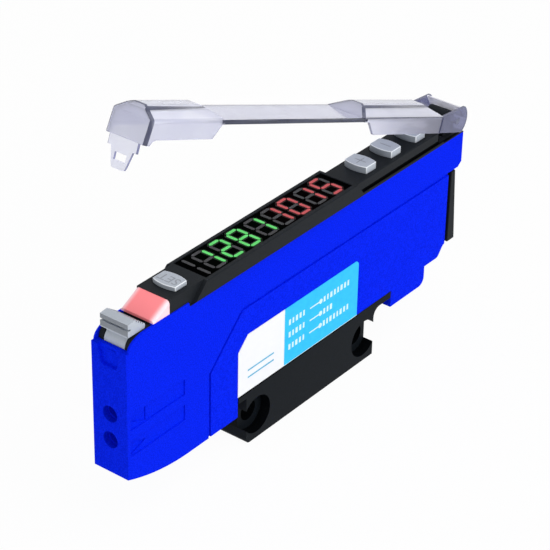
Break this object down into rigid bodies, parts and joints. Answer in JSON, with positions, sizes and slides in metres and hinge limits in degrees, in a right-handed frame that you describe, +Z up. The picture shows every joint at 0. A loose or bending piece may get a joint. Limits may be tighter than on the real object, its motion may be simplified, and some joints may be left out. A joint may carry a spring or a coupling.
{
  "type": "fibre optic sensor amplifier",
  "caption": "Slim fibre optic sensor amplifier with front fibre ports, clamp lever, lit digit display, push keys, hinged clear dust cover and a black mounting bracket.",
  "frame": {"origin": "middle of the mounting bracket's base face", "axes": "+X from the fibre ports to the cable end, +Y away from the label side, +Z up through the display"},
  "size_m": [0.0802, 0.0072, 0.0631],
  "materials": {
    "case_blue": "satin moulded",
    "black_plastic": "matt moulded",
    "bush_rubber": "matt",
    "label_white": "satin film",
    "label_cyan": "satin film",
    "display_black": "gloss",
    "lit_green": "lit",
    "lit_red": "lit",
    "unlit_grey": "unlit",
    "key_grey": "satin moulded",
    "switch_grey": "matt",
    "board_green": "coated",
    "lens_pink": "diffusing gloss",
    "led_clear": "gloss",
    "diode_dark": "gloss",
    "steel": "plain",
    "clear_cover": "clear gloss"
  },
  "bodies": {
    "amplifier": {"main_case": "case_blue", "side_cover": "case_blue", "label_plain": "label_white", "label_tint": "label_cyan", "mounting_bracket": "black_plastic", "rear_cover": "black_plastic", "cable_bush": "bush_rubber", "top_bezel": "black_plastic", "display_module": "display_black", "segments_green": "lit_green", "segments_red": "lit_red", "segments_dark": "unlit_grey", "key_switches": "switch_grey", "key_board": "board_green", "main_board": "board_green", "indicator_lens": "lens_pink", "indicator_led": "led_clear", "lever_pin": "steel", "fibre_block": "black_plastic", "emitter_led": "led_clear", "receiver_diode": "diode_dark", "hinge_pin": "steel"},
    "set_key": {"set_key": "key_grey"},
    "plus_key": {"plus_key": "key_grey"},
    "minus_key": {"minus_key": "key_grey"},
    "mode_key": {"mode_key": "key_grey"},
    "lever": {"clamp_lever": "key_grey"},
    "clamp": {"fibre_clamp": "steel"},
    "cover": {"dust_cover": "clear_cover"}
  },
  "joints": [
    {"name": "cover_hinge", "type": "hinge", "parent": "amplifier", "child": "cover", "pos_m": [0.03566, 0, 0.03325], "axis": [0, 1, 0], "range_deg": [-21.3, 38]},
    {"name": "lever_turn", "type": "hinge", "parent": "amplifier", "child": "lever", "pos_m": [-0.03894, 0, 0.02895], "axis": [0, -1, 0], "range_deg": [0, 40]},
    {"name": "clamp_lift", "type": "slide", "parent": "amplifier", "child": "clamp", "axis": [0, 0, 1], "range_m": [0, 0.0002], "stiffness_N_per_m": 400, "springref_m": -0.0003},
    {"name": "set_press", "type": "slide", "parent": "amplifier", "child": "set_key", "axis": [0, 0, -1], "range_m": [0, 0.00025], "stiffness_N_per_m": 400, "springref_m": -0.0003},
    {"name": "plus_press", "type": "slide", "parent": "amplifier", "child": "plus_key", "axis": [0, 0, -1], "range_m": [0, 0.00025], "stiffness_N_per_m": 400, "springref_m": -0.0003},
    {"name": "minus_press", "type": "slide", "parent": "amplifier", "child": "minus_key", "axis": [0, 0, -1], "range_m": [0, 0.00025], "stiffness_N_per_m": 400, "springref_m": -0.0003},
    {"name": "mode_press", "type": "slide", "parent": "amplifier", "child": "mode_key", "axis": [0, 0, -1], "range_m": [0, 0.00025], "stiffness_N_per_m": 400, "springref_m": -0.0003}
  ]
}
